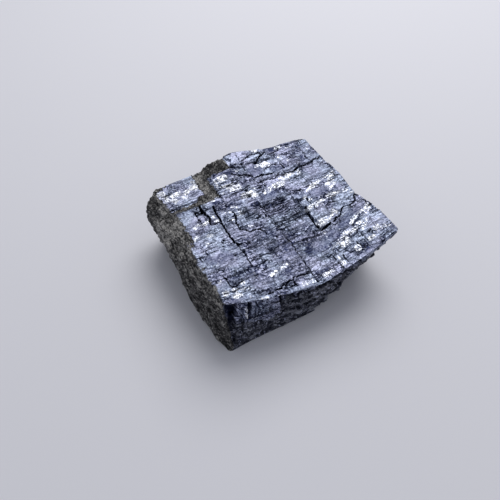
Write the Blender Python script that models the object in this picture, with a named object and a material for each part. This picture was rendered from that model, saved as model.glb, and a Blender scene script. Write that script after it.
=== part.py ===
# Galena specimen: one natural cleavage block of lead ore, with a granular crust down its left side.
#
# It is laid out in millimetres: X along the long cleavage direction, Y to the back, and Z up from
# the face that it rests on. The finished block is centred on the origin and written in metres.

import math
from bisect import bisect

import bmesh
import bpy
from mathutils import Vector, noise

MM = 0.001                      # metres in one millimetre

# Driving sizes, in millimetres
TOP = 16.5                      # height of the main cleavage face
LEFT, RIGHT = -24.5, 24.5       # nominal sides of the top face, before its outline is bent
FRONT, BACK = -22.7, 24.2
CENTRE = (-0.85, 2.01)          # middle of the whole block's box in the layout

# The top face is crossed by cleavage ledges, which all follow these lines
X_LEDGES = (-23.0, -20.0, -16.8, -14.5, -12.7, -11.2, -8.3, -5.0, 0.6, 3.0, 5.0, 8.3, 11.0, 15.5, 20.5)
Y_LEDGES = (-20.4, -17.0, -15.0, -12.4, -9.8, -5.0, -2.3, 0.0, 4.6, 7.5, 10.5, 12.8, 14.0, 17.5, 19.5)
LEDGE_RUN = 0.3                 # plan width of a ledge's wall
FILL_STEP = 2.0                 # widest cell between two ledges
RING_DEPTHS = (0.8, 1.2, 2.8, 4.4, 4.7, 7.0, 9.2, 9.5, 12.0, 14.4, 15.8, TOP)

# Outline of the top face
TOP_FRONT = ((-24.5, -18.9), (-19.8, -20.6), (-14.5, -21.7), (-9.2, -22.4), (-4.0, -22.8), (1.0, -23.0),
             (5.9, -22.9), (10.8, -22.3), (15.6, -21.7), (20.3, -20.8), (24.5, -20.0))
TOP_BACK = ((-24.5, 23.6), (-11.2, 23.9), (-8.2, 24.6), (-5.2, 26.2), (-2.7, 26.9), (2.4, 27.0), (4.4, 26.8),
            (7.4, 25.7), (9.4, 24.8), (12.0, 24.4), (15.0, 24.0), (24.5, 23.2))
TOP_LEFT = ((-19.0, -24.4), (-5.0, -24.1), (0.0, -23.6), (5.0, -22.0), (8.0, -21.4), (12.0, -21.4),
            (14.5, -22.6), (22.0, -23.2))
TOP_RIGHT = ((-19.0, 24.8), (-12.0, 24.8), (-4.2, 24.6), (-3.4, 24.2), (1.0, 24.2), (6.0, 24.5),
             (23.0, 24.7))

# Outline of the foot, on the surface that it stands on
FOOT_FRONT = ((-24.5, -21.0), (-17.7, -20.3), (-3.8, -20.3), (2.0, -19.0), (8.0, -15.4), (12.0, -13.6),
              (19.0, -10.5), (24.5, -8.0))
FOOT_BACK = ((-24.5, 21.6), (-12.0, 22.2), (-6.0, 23.2), (0.0, 24.0), (6.0, 23.6), (12.0, 22.8),
             (24.5, 21.8))
FOOT_LEFT = ((-21.0, -24.2), (-18.0, -24.8), (-10.0, -25.1), (-2.0, -25.2), (10.0, -23.6), (22.0, -21.6))
FOOT_RIGHT = ((-19.0, 22.4), (-8.0, 23.3), (5.0, 24.0), (22.0, 23.8))

# The crust swells out between the top edge and the foot; the front is undercut below a rim
CRUST_BELLY = ((-19.0, -25.2), (-10.0, -26.1), (0.0, -26.3), (8.0, -26.2), (15.0, -26.3), (20.0, -26.2),
               (23.0, -25.0))
BELLY_SHARE = 0.22              # part of the height at which the crust stands out furthest
RIM_HEIGHT = ((1.0, 0.0), (5.0, 3.8), (8.0, 5.4), (12.0, 7.0), (15.0, 8.2), (19.3, 9.8), (20.6, 12.8),
              (24.5, 13.8))
RIM_FRONT = ((-24.5, -21.0), (-17.7, -20.6), (-3.8, -20.8), (5.0, -20.6), (12.0, -20.3), (19.3, -19.8),
             (24.5, -18.8))

# The front face: a dark recess beside the left corner, and a sheltered band under a thin lip
RECESS = {"x_from": -23.4, "x_to": -20.1, "low": 8.0, "high": 15.9, "depth": 1.7}
SHELTER = {"x_from": -11.2, "lip": 1.0, "low": 5.0, "high": 8.0, "depth": 0.9}

# The top sags towards the middle of the front, and along a shallow trough to the right
FRONT_SAG = ((-24.5, 0.0), (-18.0, 0.5), (-9.0, 1.7), (0.0, 2.2), (8.0, 1.9), (16.0, 1.1), (24.5, 0.3))
SAG_REACH = (-6.0, -22.0)
TROUGH = ((23.0, -3.5), (12.0, -10.5), (5.0, -15.0), (0.0, -22.0))
TROUGH_DEPTH = 0.9
TROUGH_WIDTH = 4.5

# Cleavage plates: x from, x to, y from, y to, rise, slope along x, slope along y
PLATES = (
    (-23.0, -11.2, 14.0, 25.0, 0.35, 0.02, -0.01),      # corner block, ringed by crust
    (-25.0, -11.2, 12.8, 14.0, -0.9, 0.0, 0.0),         # crust channel in front of it
    (-11.2, -8.3, 12.8, 27.0, -0.7, 0.0, 0.03),         # crust channel beside it
    (-8.3, 0.6, 19.5, 27.0, -0.3, 0.0, 0.05),           # rough notch at the back
    (0.6, 11.0, 19.5, 27.0, 0.9, -0.03, 0.02),          # raised plate at the back
    (11.0, 24.7, 19.5, 25.0, 0.3, 0.0, -0.03),
    (3.0, 20.5, 14.0, 19.5, -0.25, 0.0, 0.05),
    (20.5, 24.7, 12.8, 19.5, 0.25, -0.04, 0.0),
    (-8.3, 3.0, 14.0, 17.5, 0.45, 0.03, 0.05),
    (-8.3, 0.6, 17.5, 19.5, 0.2, 0.0, 0.0),
    (3.0, 24.7, 10.5, 12.8, -0.55, 0.0, 0.06),          # low side of the long straight groove
    (-25.0, -16.8, 4.6, 12.8, 0.2, 0.0, 0.02),
    (-16.8, -14.5, 4.6, 10.5, -0.45, 0.05, 0.0),
    (-14.5, -12.7, 4.6, 12.8, 0.3, -0.1, 0.0),
    (-12.7, -8.3, 0.0, 10.5, -0.15, 0.04, 0.02),
    (-8.3, -5.0, -2.3, 4.6, -0.5, 0.04, 0.0),
    (-8.3, 0.6, 7.5, 12.8, 0.35, 0.0, 0.05),
    (-5.0, 8.3, 0.0, 7.5, -0.4, 0.0, 0.05),             # dark wavy hollow in the middle
    (-5.0, 8.3, -9.8, 0.0, -0.4, -0.02, 0.03),
    (0.6, 3.0, -12.4, -2.3, -0.15, 0.0, 0.0),
    (8.3, 15.5, -9.8, -2.3, 0.75, -0.03, 0.03),         # box step
    (15.5, 20.5, -5.0, -2.3, 0.5, -0.04, 0.05),
    (8.3, 11.0, -2.3, 4.6, 0.35, 0.0, -0.05),
    (11.0, 24.7, -2.3, 4.6, 0.15, 0.0, 0.06),
    (5.0, 11.0, 7.5, 10.5, 0.25, 0.0, -0.06),
    (15.5, 24.7, 4.6, 7.5, 0.35, 0.0, -0.08),
    (-20.0, -12.7, -15.0, -12.4, -0.7, 0.05, 0.05),     # small hollow behind a ledge
    (-25.0, -20.0, -17.0, -12.4, 0.15, 0.0, 0.0),
    (-12.7, -5.0, -17.0, -9.8, -0.2, 0.02, 0.02),
    (5.0, 15.5, -20.4, -17.0, 0.45, 0.02, 0.05),
    (15.5, 25.2, -22.8, -12.4, 0.3, 0.02, 0.03),        # rising corner at the front right
    (15.5, 20.5, -17.0, -12.4, 0.3, 0.0, 0.05),
    (-16.8, 0.6, -23.5, -20.4, -0.4, 0.0, -0.06),       # front strip beyond its crack
    (3.0, 8.3, -23.5, -20.4, 0.3, 0.0, 0.0),
)

# Small pits in the top: x, y, radius, depth
PITS = ((-6.0, -10.0, 1.1, 0.9), (-18.6, -14.2, 1.6, 0.7), (-1.5, 6.2, 1.9, 0.8), (9.8, -10.4, 1.2, 0.7),
        (2.5, 3.5, 5.0, 0.5))

# Lumps on the rough parts: size across and how far they stand out
CRUST_LUMPS = ((5.0, 0.6), (2.4, 0.6))
BREAK_LUMPS = ((3.2, 0.45), (1.6, 0.25))
TOP_UNEVENNESS = ((3.0, 0.12),)
NOTCH = {"x_from": -8.3, "x_to": 0.6, "y_from": 19.5}
CRUST_FADE = (-23.0, -19.5)     # along x, from full crust to none
BREAK_FADE = (5.5, 8.5)         # in height, from broken rock to clean cleavage on the front face
BREAK_FRONT = (-15.0, -18.0)    # along y, where the broken rock of the front begins
EDGE_FADE = 1.0                 # lumps die out this close to the top edge and the foot

LEDGE_WANDER = (5.0, 0.28)      # wave length and reach of the ledges' wander
WANDER_FADE = 3.0               # the wander dies out this close to the outline
BLOCK_RELIEF = 0.75             # how far the cleavage blocks of the back and right faces step
BLOCK_ROWS = (0.27, 0.56)       # shares of the height at which the blocks part
TOP_MARGIN = 7.0                # width of the band in which the outline bends the top's grid
FOOT_MARGIN = 25.0              # the same at the foot
CORNER_RADII = {"front_left": 1.2, "front_right": 0.9, "back_left": 4.0, "back_right": 1.4}

GALENA = {"color": (0.24, 0.26, 0.32, 1.0), "metallic": 0.9, "roughness": 0.42}


def reading(outline, place):
    """Straight-line reading of an outline's second value at a place along its first."""
    for (a, low), (b, high) in zip(outline, outline[1:]):
        if place <= b:
            return low + (high - low) * max(0.0, (place - a) / (b - a))
    return outline[-1][1]


def ease(value, start, end):
    """0 before start, 1 after end, and smooth between them."""
    share = min(1.0, max(0.0, (value - start) / (end - start)))
    return share * share * (3.0 - 2.0 * share)


def lumps(point, scales, seed):
    """Sum of smooth lumps, each of a size across and a height."""
    shift = Vector((seed * 17.3, seed * 5.1, seed * 9.7))
    return sum(height * noise.noise(point / size + shift) for size, height in scales)


def grid_lines(low, high, ledges):
    """Lines across the top: a close pair at each ledge, and even cells between them."""
    stops = [low]
    for ledge in ledges:
        stops += [ledge - LEDGE_RUN / 2, ledge + LEDGE_RUN / 2]
    stops.append(high)
    lines = [low]
    for a, b in zip(stops, stops[1:]):
        cells = max(1, math.ceil((b - a) / FILL_STEP))
        lines += [a + (b - a) * n / cells for n in range(1, cells + 1)]
    return lines


def round_corner(u, v):
    """Draw a point near a corner of the nominal outline onto a round corner."""
    side = "left" if u < 0 else "right"
    end = "front" if v < 0 else "back"
    radius = CORNER_RADII[end + "_" + side]
    edge_u, edge_v = (LEFT if u < 0 else RIGHT), (FRONT if v < 0 else BACK)
    a = 1.0 - abs(edge_u - u) / radius
    b = 1.0 - abs(edge_v - v) / radius
    if a <= 0.0 or b <= 0.0:
        return u, v
    round_a = a * math.sqrt(1.0 - b * b / 2.0)
    round_b = b * math.sqrt(1.0 - a * a / 2.0)
    return (edge_u - math.copysign((1.0 - round_a) * radius, edge_u),
            edge_v - math.copysign((1.0 - round_b) * radius, edge_v))


def front_face(x, height):
    """Y of the front face: flush block, recess and lip above, broken and undercut below."""
    rim = reading(RIM_HEIGHT, x)
    edge, rim_y, foot = reading(TOP_FRONT, x), reading(RIM_FRONT, x), reading(FOOT_FRONT, x)
    local_top = TOP - reading(FRONT_SAG, x)
    if height >= rim:
        y = edge + (rim_y - edge) * ease(height, local_top, rim)
    else:
        y = rim_y + (foot - rim_y) * (1.0 - height / rim)
    if RECESS["x_from"] < x < RECESS["x_to"] and RECESS["low"] < height < RECESS["high"]:
        y += RECESS["depth"]
    if x > SHELTER["x_from"] and local_top - height > SHELTER["lip"]:
        y += SHELTER["depth"] * ease(height, SHELTER["low"], SHELTER["high"])
    return y


def left_face(y, share):
    """X of the crusted left face at a share of the way down."""
    edge, belly, foot = reading(TOP_LEFT, y), reading(CRUST_BELLY, y), reading(FOOT_LEFT, y)
    if share < BELLY_SHARE:
        return edge + (belly - edge) * math.sin(math.pi / 2 * share / BELLY_SHARE)
    return belly + (foot - belly) * ease(share, BELLY_SHARE, 1.0)


def block_step(ledges, place, share):
    """Step of one cleavage block on a hidden side, the same all over the block."""
    column = bisect(ledges, place)
    row = bisect(BLOCK_ROWS, share)
    return BLOCK_RELIEF * noise.noise(Vector((column * 3.7 + 0.5, row * 5.3 + 0.5, len(ledges) + 0.5)))


def wander(u, v):
    """Slow drift that keeps the ledges from running dead straight."""
    length, reach = LEDGE_WANDER
    place = Vector((u / length, v / length, 0.0))
    inside = min(u - LEFT, RIGHT - u, v - FRONT, BACK - v)
    weight = min(1.0, max(0.0, inside / WANDER_FADE))
    return (reach * weight * noise.noise(place + Vector((3.1, 7.7, 1.3))),
            reach * weight * noise.noise(place + Vector((11.9, 2.3, 8.1))))


def plan(u, v, depth):
    """Layout x, y of a nominal point, on the top (depth 0) or down a side."""
    share = depth / TOP
    height = TOP - depth
    u, v = round_corner(u, v)
    drift_u, drift_v = wander(u, v)
    margin = TOP_MARGIN + (FOOT_MARGIN - TOP_MARGIN) * share
    near_front = max(0.0, 1.0 - (v - FRONT) / margin)
    near_back = max(0.0, 1.0 - (BACK - v) / margin)
    near_left = max(0.0, 1.0 - (u - LEFT) / margin)
    near_right = max(0.0, 1.0 - (RIGHT - u) / margin)
    back = reading(TOP_BACK, u) + (reading(FOOT_BACK, u) - reading(TOP_BACK, u)) * share
    right = reading(TOP_RIGHT, v) + (reading(FOOT_RIGHT, v) - reading(TOP_RIGHT, v)) * share
    if 0.0 < depth < TOP:
        back += block_step(X_LEDGES, u, share) * near_back
        right += block_step(Y_LEDGES, v, share) * near_right * (1.0 - near_front)
    x = u + drift_u + (left_face(v, share) - LEFT) * near_left + (right - RIGHT) * near_right
    y = v + drift_v + (front_face(u, height) - FRONT) * near_front + (back - BACK) * near_back
    return x, y


def distance_to_path(x, y, path):
    """Plan distance from a point to a path of straight runs."""
    best = math.inf
    for (ax, ay), (bx, by) in zip(path, path[1:]):
        run = (bx - ax, by - ay)
        along = ((x - ax) * run[0] + (y - ay) * run[1]) / (run[0] ** 2 + run[1] ** 2)
        along = min(1.0, max(0.0, along))
        best = min(best, math.hypot(x - ax - run[0] * along, y - ay - run[1] * along))
    return best


def top_height(x, y, u, v):
    """Height of the top face: sag, trough, cleavage plates, pits and a fine unevenness."""
    height = TOP - reading(FRONT_SAG, x) * ease(-y, -SAG_REACH[0], -SAG_REACH[1])
    height -= TROUGH_DEPTH * math.exp(-(distance_to_path(x, y, TROUGH) / TROUGH_WIDTH) ** 2)
    for x_from, x_to, y_from, y_to, rise, slope_x, slope_y in PLATES:
        if x_from < u < x_to and y_from < v < y_to:
            height += rise + slope_x * (u - (x_from + x_to) / 2) + slope_y * (v - (y_from + y_to) / 2)
    for pit_x, pit_y, radius, depth in PITS:
        height -= depth * math.exp(-((x - pit_x) ** 2 + (y - pit_y) ** 2) / radius ** 2)
    if NOTCH["x_from"] < u < NOTCH["x_to"] and v > NOTCH["y_from"]:
        height += lumps(Vector((x, y, 0.0)), BREAK_LUMPS, 5)
    return height + lumps(Vector((x, y, 0.0)), TOP_UNEVENNESS, 6)


def roughness_of_side(x, y, height):
    """How far a point of a side is pushed along its normal by the lumps of crust and breaks."""
    point = Vector((x, y, height))
    crusted = 1.0 - ease(x, *CRUST_FADE)
    broken = (1.0 - ease(y, BREAK_FRONT[1], BREAK_FRONT[0])) * (1.0 - ease(height, *BREAK_FADE))
    push = crusted * lumps(point, CRUST_LUMPS, 1) + (1.0 - crusted) * broken * lumps(point, BREAK_LUMPS, 2)
    return push * ease(height, 0.0, EDGE_FADE) * ease(TOP - height, 0.0, EDGE_FADE)


def make_block():
    """The whole stone as one closed mesh: top grid, rings of side faces, and a flat foot."""
    x_lines = grid_lines(LEFT, RIGHT, X_LEDGES)
    y_lines = grid_lines(FRONT, BACK, Y_LEDGES)
    x_cells, y_cells = len(x_lines) - 1, len(y_lines) - 1

    bm = bmesh.new()
    bmesh.ops.create_grid(bm, x_segments=x_cells, y_segments=y_cells, size=0.5)
    nominal = {}
    for vert in bm.verts:
        u = x_lines[round((vert.co.x + 0.5) * x_cells)]
        v = y_lines[round((vert.co.y + 0.5) * y_cells)]
        x, y = plan(u, v, 0.0)
        nominal[vert] = (u, v, top_height(x, y, u, v))
        vert.co = (x, y, nominal[vert][2])

    sides = set()
    rim = [edge for edge in bm.edges if edge.is_boundary]
    for depth in RING_DEPTHS:
        made = bmesh.ops.extrude_edge_only(bm, edges=rim)["geom"]
        ring = {item for item in made if isinstance(item, bmesh.types.BMVert)}
        rim = [item for item in made if isinstance(item, bmesh.types.BMEdge) and item.is_boundary]
        for vert in ring:
            above = next(edge.other_vert(vert) for edge in vert.link_edges
                         if edge.other_vert(vert) not in ring)
            nominal[vert] = nominal[above]
        for vert in ring:
            u, v, top = nominal[vert]
            x, y = plan(u, v, depth)
            vert.co = (x, y, top * (1.0 - depth / TOP))
        sides |= ring
    bmesh.ops.contextual_create(bm, geom=rim)
    sides -= ring                                       # the foot stays flat

    bmesh.ops.recalc_face_normals(bm, faces=bm.faces)
    bm.normal_update()
    pushes = [vert.normal * roughness_of_side(*vert.co) if vert in sides else Vector() for vert in bm.verts]
    for vert, push in zip(bm.verts, pushes):
        vert.co = (vert.co + push - Vector((*CENTRE, 0.0))) * MM
    bmesh.ops.recalc_face_normals(bm, faces=bm.faces)

    mesh = bpy.data.meshes.new("galena")
    bm.to_mesh(mesh)
    bm.free()
    return mesh


def make_material():
    """Galena: a soft lead-grey metal lustre."""
    material = bpy.data.materials.new("galena")
    material.use_nodes = True
    shader = material.node_tree.nodes["Principled BSDF"]
    shader.inputs["Base Color"].default_value = GALENA["color"]
    shader.inputs["Metallic"].default_value = GALENA["metallic"]
    shader.inputs["Roughness"].default_value = GALENA["roughness"]
    return material


def main():
    for old in list(bpy.data.objects):
        bpy.data.objects.remove(old, do_unlink=True)
    specimen = bpy.data.collections.new("galena_specimen")
    bpy.context.scene.collection.children.link(specimen)

    block = bpy.data.objects.new("galena", make_block())
    block.data.materials.append(make_material())
    specimen.objects.link(block)


main()
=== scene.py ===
import math
from functools import partial

import bpy
import numpy as np
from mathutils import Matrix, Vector, noise


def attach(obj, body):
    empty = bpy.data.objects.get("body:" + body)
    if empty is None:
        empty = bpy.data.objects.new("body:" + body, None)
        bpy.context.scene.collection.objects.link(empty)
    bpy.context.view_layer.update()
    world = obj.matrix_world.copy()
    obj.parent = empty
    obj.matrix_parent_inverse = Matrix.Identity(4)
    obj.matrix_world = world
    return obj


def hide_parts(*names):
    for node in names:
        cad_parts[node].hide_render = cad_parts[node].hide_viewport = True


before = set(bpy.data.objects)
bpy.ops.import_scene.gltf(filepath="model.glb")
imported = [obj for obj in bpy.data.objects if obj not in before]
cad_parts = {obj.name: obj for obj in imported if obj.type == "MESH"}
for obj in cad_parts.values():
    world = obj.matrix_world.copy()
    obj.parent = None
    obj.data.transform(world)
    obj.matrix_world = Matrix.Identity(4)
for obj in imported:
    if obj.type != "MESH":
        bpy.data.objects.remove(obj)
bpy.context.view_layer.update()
bpy.ops.object.select_all(action="DESELECT")

mm = 0.001
centre = (-0.85, 2.01)  # middle of the block's box in the layout frame, in mm
lumpShift = np.array((17.3, 5.1, 9.7))  # each seed reads the noise this much further on
cellShift = np.array((3.7, 9.1, 5.9))

# The layout frame is in mm: x along the long cleavage direction, y to the back, z up from the foot.


def at(outline, place):
    # second value of an outline at a place along its first
    ways, values = zip(*outline)
    return np.interp(place, ways, values)


def ease(value, start, end):
    # 0 up to the start, 1 from the end on, smooth between
    share = np.clip((value - start) / (end - start), 0, 1)
    return share * share * (3 - 2 * share)


def band(value, start, full, fall, end):
    # 1 from full to fall, 0 outside start and end
    return ease(value, start, full) * (1 - ease(value, fall, end))


def lumps(points, size, seed):
    # smooth lumps of one size in mm, about -1 to 1; a size for each axis draws them out
    shifted = points / np.array(size) + seed * lumpShift
    return np.array([noise.noise(p) for p in shifted.tolist()])


def cells(points, size, seed):
    # one value from -1 to 1 for each cell of a grid
    shifted = points / np.array(size) + seed * cellShift
    return np.array([noise.cell(p) for p in shifted.tolist()]) * 2 - 1


def lines(points, size, seed, width):
    # thin wandering lines of an even width in mm: 1 along them, 0 between
    step, leastSlope, core = 0.05, 0.05, 0.35
    here = lumps(points, size, seed)
    slopeX = (lumps(points + (step, 0, 0), size, seed) - here) / step
    slopeY = (lumps(points + (0, step, 0), size, seed) - here) / step
    return 1 - ease(np.abs(here) / (np.hypot(slopeX, slopeY) + leastSlope), core * width, width)


def nearPath(x, y, path):
    # plan distance to a path of straight runs
    best = np.full(x.shape, 1e9)
    for (ax, ay), (bx, by) in zip(path, path[1:]):
        dx, dy = bx - ax, by - ay
        along = np.clip(((x - ax) * dx + (y - ay) * dy) / (dx * dx + dy * dy), 0, 1)
        best = np.minimum(best, np.hypot(x - ax - dx * along, y - ay - dy * along))
    return best


def patch(x, y, spot, fringe):
    # 1 inside a turned oval with squarish ends, 0 outside, with a ragged fringe
    cx, cy, reachX, reachY, turn = spot[:5]
    c, s = math.cos(math.radians(turn)), math.sin(math.radians(turn))
    along = ((x - cx) * c + (y - cy) * s) / reachX
    across = (-(x - cx) * s + (y - cy) * c) / reachY
    fadeFrom, fadeTo = 0.75, 1.1
    return 1 - ease((along ** 4 + across ** 4) ** 0.25 + fringe, fadeFrom, fadeTo)


def terraces(a, b, form, seed):
    # random cleavage steps over a face: their rise in mm, and how bright each lies
    rng = np.random.default_rng(seed)
    rise, tone = np.zeros_like(a), np.zeros_like(a)
    low, high = (a.min(), b.min()), (a.max(), b.max())
    for _ in range(form["count"]):
        ca, cb = rng.uniform(low[0], high[0]), rng.uniform(low[1], high[1])
        size = form["small"] + (form["large"] - form["small"]) * rng.uniform() ** 2
        halfA, halfB = 0.5 * size * form["drawnOut"], 0.5 * size * rng.uniform(0.5, 1)
        step, tipA, tipB, shade = rng.normal(size=4)
        inside = (np.abs(a - ca) < halfA) & (np.abs(b - cb) < halfB)
        rise[inside] += form["rise"] * step + form["tilt"] * (tipA * (a - ca) + tipB * (b - cb))[inside]
        tone[inside] += form["shade"] * shade
    most, mostShade = form["most"], form["mostShade"]
    return np.clip(rise, -most, most), np.clip(tone, -mostShade, mostShade)


# The stone's form: outlines in mm, and how each face is worked
stone = {
    "top": 16.5, "left": -24.5, "right": 24.5, "front": -22.7, "back": 24.2,
    "cellsX": 245, "cellsY": 214, "rings": 46, "ringPower": 1.2,
    "topFront": ((-24.5, -18.9), (-19.8, -20.6), (-14.5, -21.7), (-9.2, -22.4), (-4, -22.8), (1, -23),
                 (5.9, -22.9), (10.8, -22.3), (15.6, -21.7), (20.3, -20.8), (24.5, -20)),
    "topBack": ((-24.5, 23.6), (-11.2, 23.9), (-8.2, 24.6), (-5.2, 26.2), (-2.7, 26.9), (2.4, 27),
                (4.4, 26.8), (7.4, 25.7), (9.4, 24.8), (12, 24.4), (15, 24), (24.5, 23.2)),
    "topLeft": ((-19, -24.4), (-5, -24.1), (0, -23.6), (5, -22), (8, -21.4), (12, -21.4), (14.5, -22.6),
                (22, -23.2)),
    "topRight": ((-19, 24.8), (-12, 24.8), (-4.2, 24.6), (-3.4, 24.2), (1, 24.2), (6, 24.5), (23, 24.7)),
    "footFront": ((-24.5, -21), (-17.7, -20.3), (-3.8, -20.3), (2, -19), (8, -15.4), (12, -13.6),
                  (19, -10.5), (24.5, -8)),
    "footBack": ((-24.5, 21.6), (-12, 22.2), (-6, 23.2), (0, 24), (6, 23.6), (12, 22.8), (24.5, 21.8)),
    "footLeft": ((-21, -24.2), (-18, -24.8), (-10, -25.1), (-2, -25.2), (10, -23.6), (22, -21.6)),
    "footRight": ((-19, 22.4), (-8, 23.3), (5, 24), (22, 23.8)),
    "crustBelly": ((-19, -25.2), (-10, -26.1), (0, -26.3), (8, -26.2), (15, -26.3), (20, -26.2), (23, -25)),
    "rimHeight": ((1, 0), (5, 3.8), (8, 5.4), (12, 7), (15, 8.2), (19.3, 9.8), (20.6, 12.8), (24.5, 13.8)),
    "rimFront": ((-24.5, -21), (-17.7, -20.6), (-3.8, -20.8), (5, -20.6), (12, -20.3), (19.3, -19.8),
                 (24.5, -18.8)),
    "frontSag": ((-24.5, 0), (-18, 0.5), (-9, 1.7), (0, 2.2), (8, 1.9), (16, 1.1), (24.5, 0.3)),
    "trough": ((23, -3.5), (12, -10.5), (5, -15), (0, -22)),
    "bellyShare": 0.22, "sagReach": (6, 22), "troughDepth": 0.9, "troughWidth": 4.5,
    "topMargin": 7, "footMargin": 25,
    "cornerRadii": {(-1, -1): 1.2, (1, -1): 0.9, (-1, 1): 2.8, (1, 1): 1.4},
    "wander": (5, 0.28, 3),  # length, reach, and fade at the outline
    "wanderU": (3.1, 7.7, 1.3), "wanderV": (11.9, 2.3, 8.1),
    "ledgesX": (-23, -20, -16.8, -14.5, -12.7, -11.2, -8.3, -5, 0.6, 3, 5, 8.3, 11, 15.5, 20.5),
    "ledgesY": (-20.4, -17, -15, -12.4, -9.8, -5, -2.3, 0, 4.6, 7.5, 10.5, 12.8, 14, 17.5, 19.5),
    "blockRelief": 0.75, "blockRows": (0.27, 0.56),
}

# Cleavage plates: x from, x to, y from, y to, rise, slope along x, slope along y
plates = (
    (-23, -11.2, 14, 25, 0.35, 0.02, -0.01),  # corner block, ringed by crust
    (-25, -11.2, 12.8, 14, -0.4, 0, 0),  # crust channel in front of it
    (-11.2, -8.3, 12.8, 27, -0.7, 0, 0.03),  # crust channel beside it
    (-8.3, 0.6, 19.5, 27, -0.3, 0, 0.05),  # rough notch at the back
    (0.6, 11, 19.5, 27, 0.9, 0, -0.01),  # raised plate at the back
    (11, 24.7, 19.5, 25, 0.3, 0, -0.03), (3, 20.5, 14, 19.5, -0.25, 0, 0.05),
    (20.5, 24.7, 12.8, 19.5, 0.25, -0.04, 0), (-8.3, 3, 14, 17.5, 0.45, 0.03, 0.05),
    (-8.3, 0.6, 17.5, 19.5, 0.2, 0, 0),
    (3, 24.7, 10.5, 12.8, -0.55, 0, 0.06),  # low side of the long straight groove
    (-25, -16.8, 4.6, 12.8, 0.2, 0, 0.02), (-16.8, -14.5, 4.6, 10.5, -0.45, 0.05, 0),
    (-14.5, -12.7, 4.6, 12.8, 0.3, -0.1, 0), (-12.7, -8.3, 0, 10.5, -0.15, 0.04, 0.02),
    (-8.3, -5, -2.3, 4.6, -0.5, 0.04, 0), (-8.3, 0.6, 7.5, 12.8, 0.35, 0, 0.05),
    (-5, 8.3, 0, 7.5, -0.4, 0, 0.05),  # dark wavy hollow in the middle
    (-5, 8.3, -9.8, 0, -0.4, -0.02, 0.03), (0.6, 3, -12.4, -2.3, -0.15, 0, 0),
    (8.3, 15.5, -9.8, -2.3, 0.6, -0.03, 0.03),  # box step
    (15.5, 20.5, -5, -2.3, 0.5, -0.04, 0.05), (8.3, 11, -2.3, 4.6, 0.35, 0, -0.05),
    (11, 24.7, -2.3, 4.6, 0.15, 0, 0.06), (5, 11, 7.5, 10.5, 0.25, 0, -0.06),
    (15.5, 24.7, 4.6, 7.5, 0.35, 0, -0.08),
    (-20, -12.7, -15, -12.4, -0.7, 0.05, 0.05),  # small hollow behind a ledge
    (-25, -20, -17, -12.4, 0.15, 0, 0), (-12.7, -5, -17, -9.8, -0.2, 0.02, 0.02),
    (5, 15.5, -20.4, -17, 0.45, 0.02, 0.05),
    (15.5, 25.2, -22.8, -12.4, 0.3, 0.02, 0.03),  # rising corner at the front right
    (15.5, 20.5, -17, -12.4, 0.3, 0, 0.05),
    (-16.8, 0.6, -23.5, -20.4, -0.4, 0, -0.06),  # front strip beyond its crack
    (3, 8.3, -23.5, -20.4, 0.3, 0, 0),
)

# Small pits: x, y, radius, depth
pits = (
    (-5.8, -9.9, 0.9, 1), (-19, -14.9, 1.1, 0.7), (-1.5, 6.2, 1.9, 0.5), (9.8, -10, 1, 0.5),
    (2.5, 3.5, 5, 0.4), (-3.3, 18.3, 0.45, 0.5), (-11.3, 9.3, 0.7, 0.5), (7, 20.3, 0.6, 0.5),
    (-1.3, 9.2, 0.35, 0.4), (8.3, 6.5, 0.6, 0.5), (-0.8, 11.5, 0.5, 0.4), (-14.7, -1.6, 0.36, 0.3),
    (-15.3, -2.2, 0.32, 0.3), (-15.8, -3.4, 0.32, 0.3), (-14.5, -7.2, 0.3, 0.3), (-12.3, -7.4, 0.3, 0.3),
    (-9.7, -5.5, 0.36, 0.3), (-2.7, -6.9, 0.34, 0.3),
)

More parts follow.
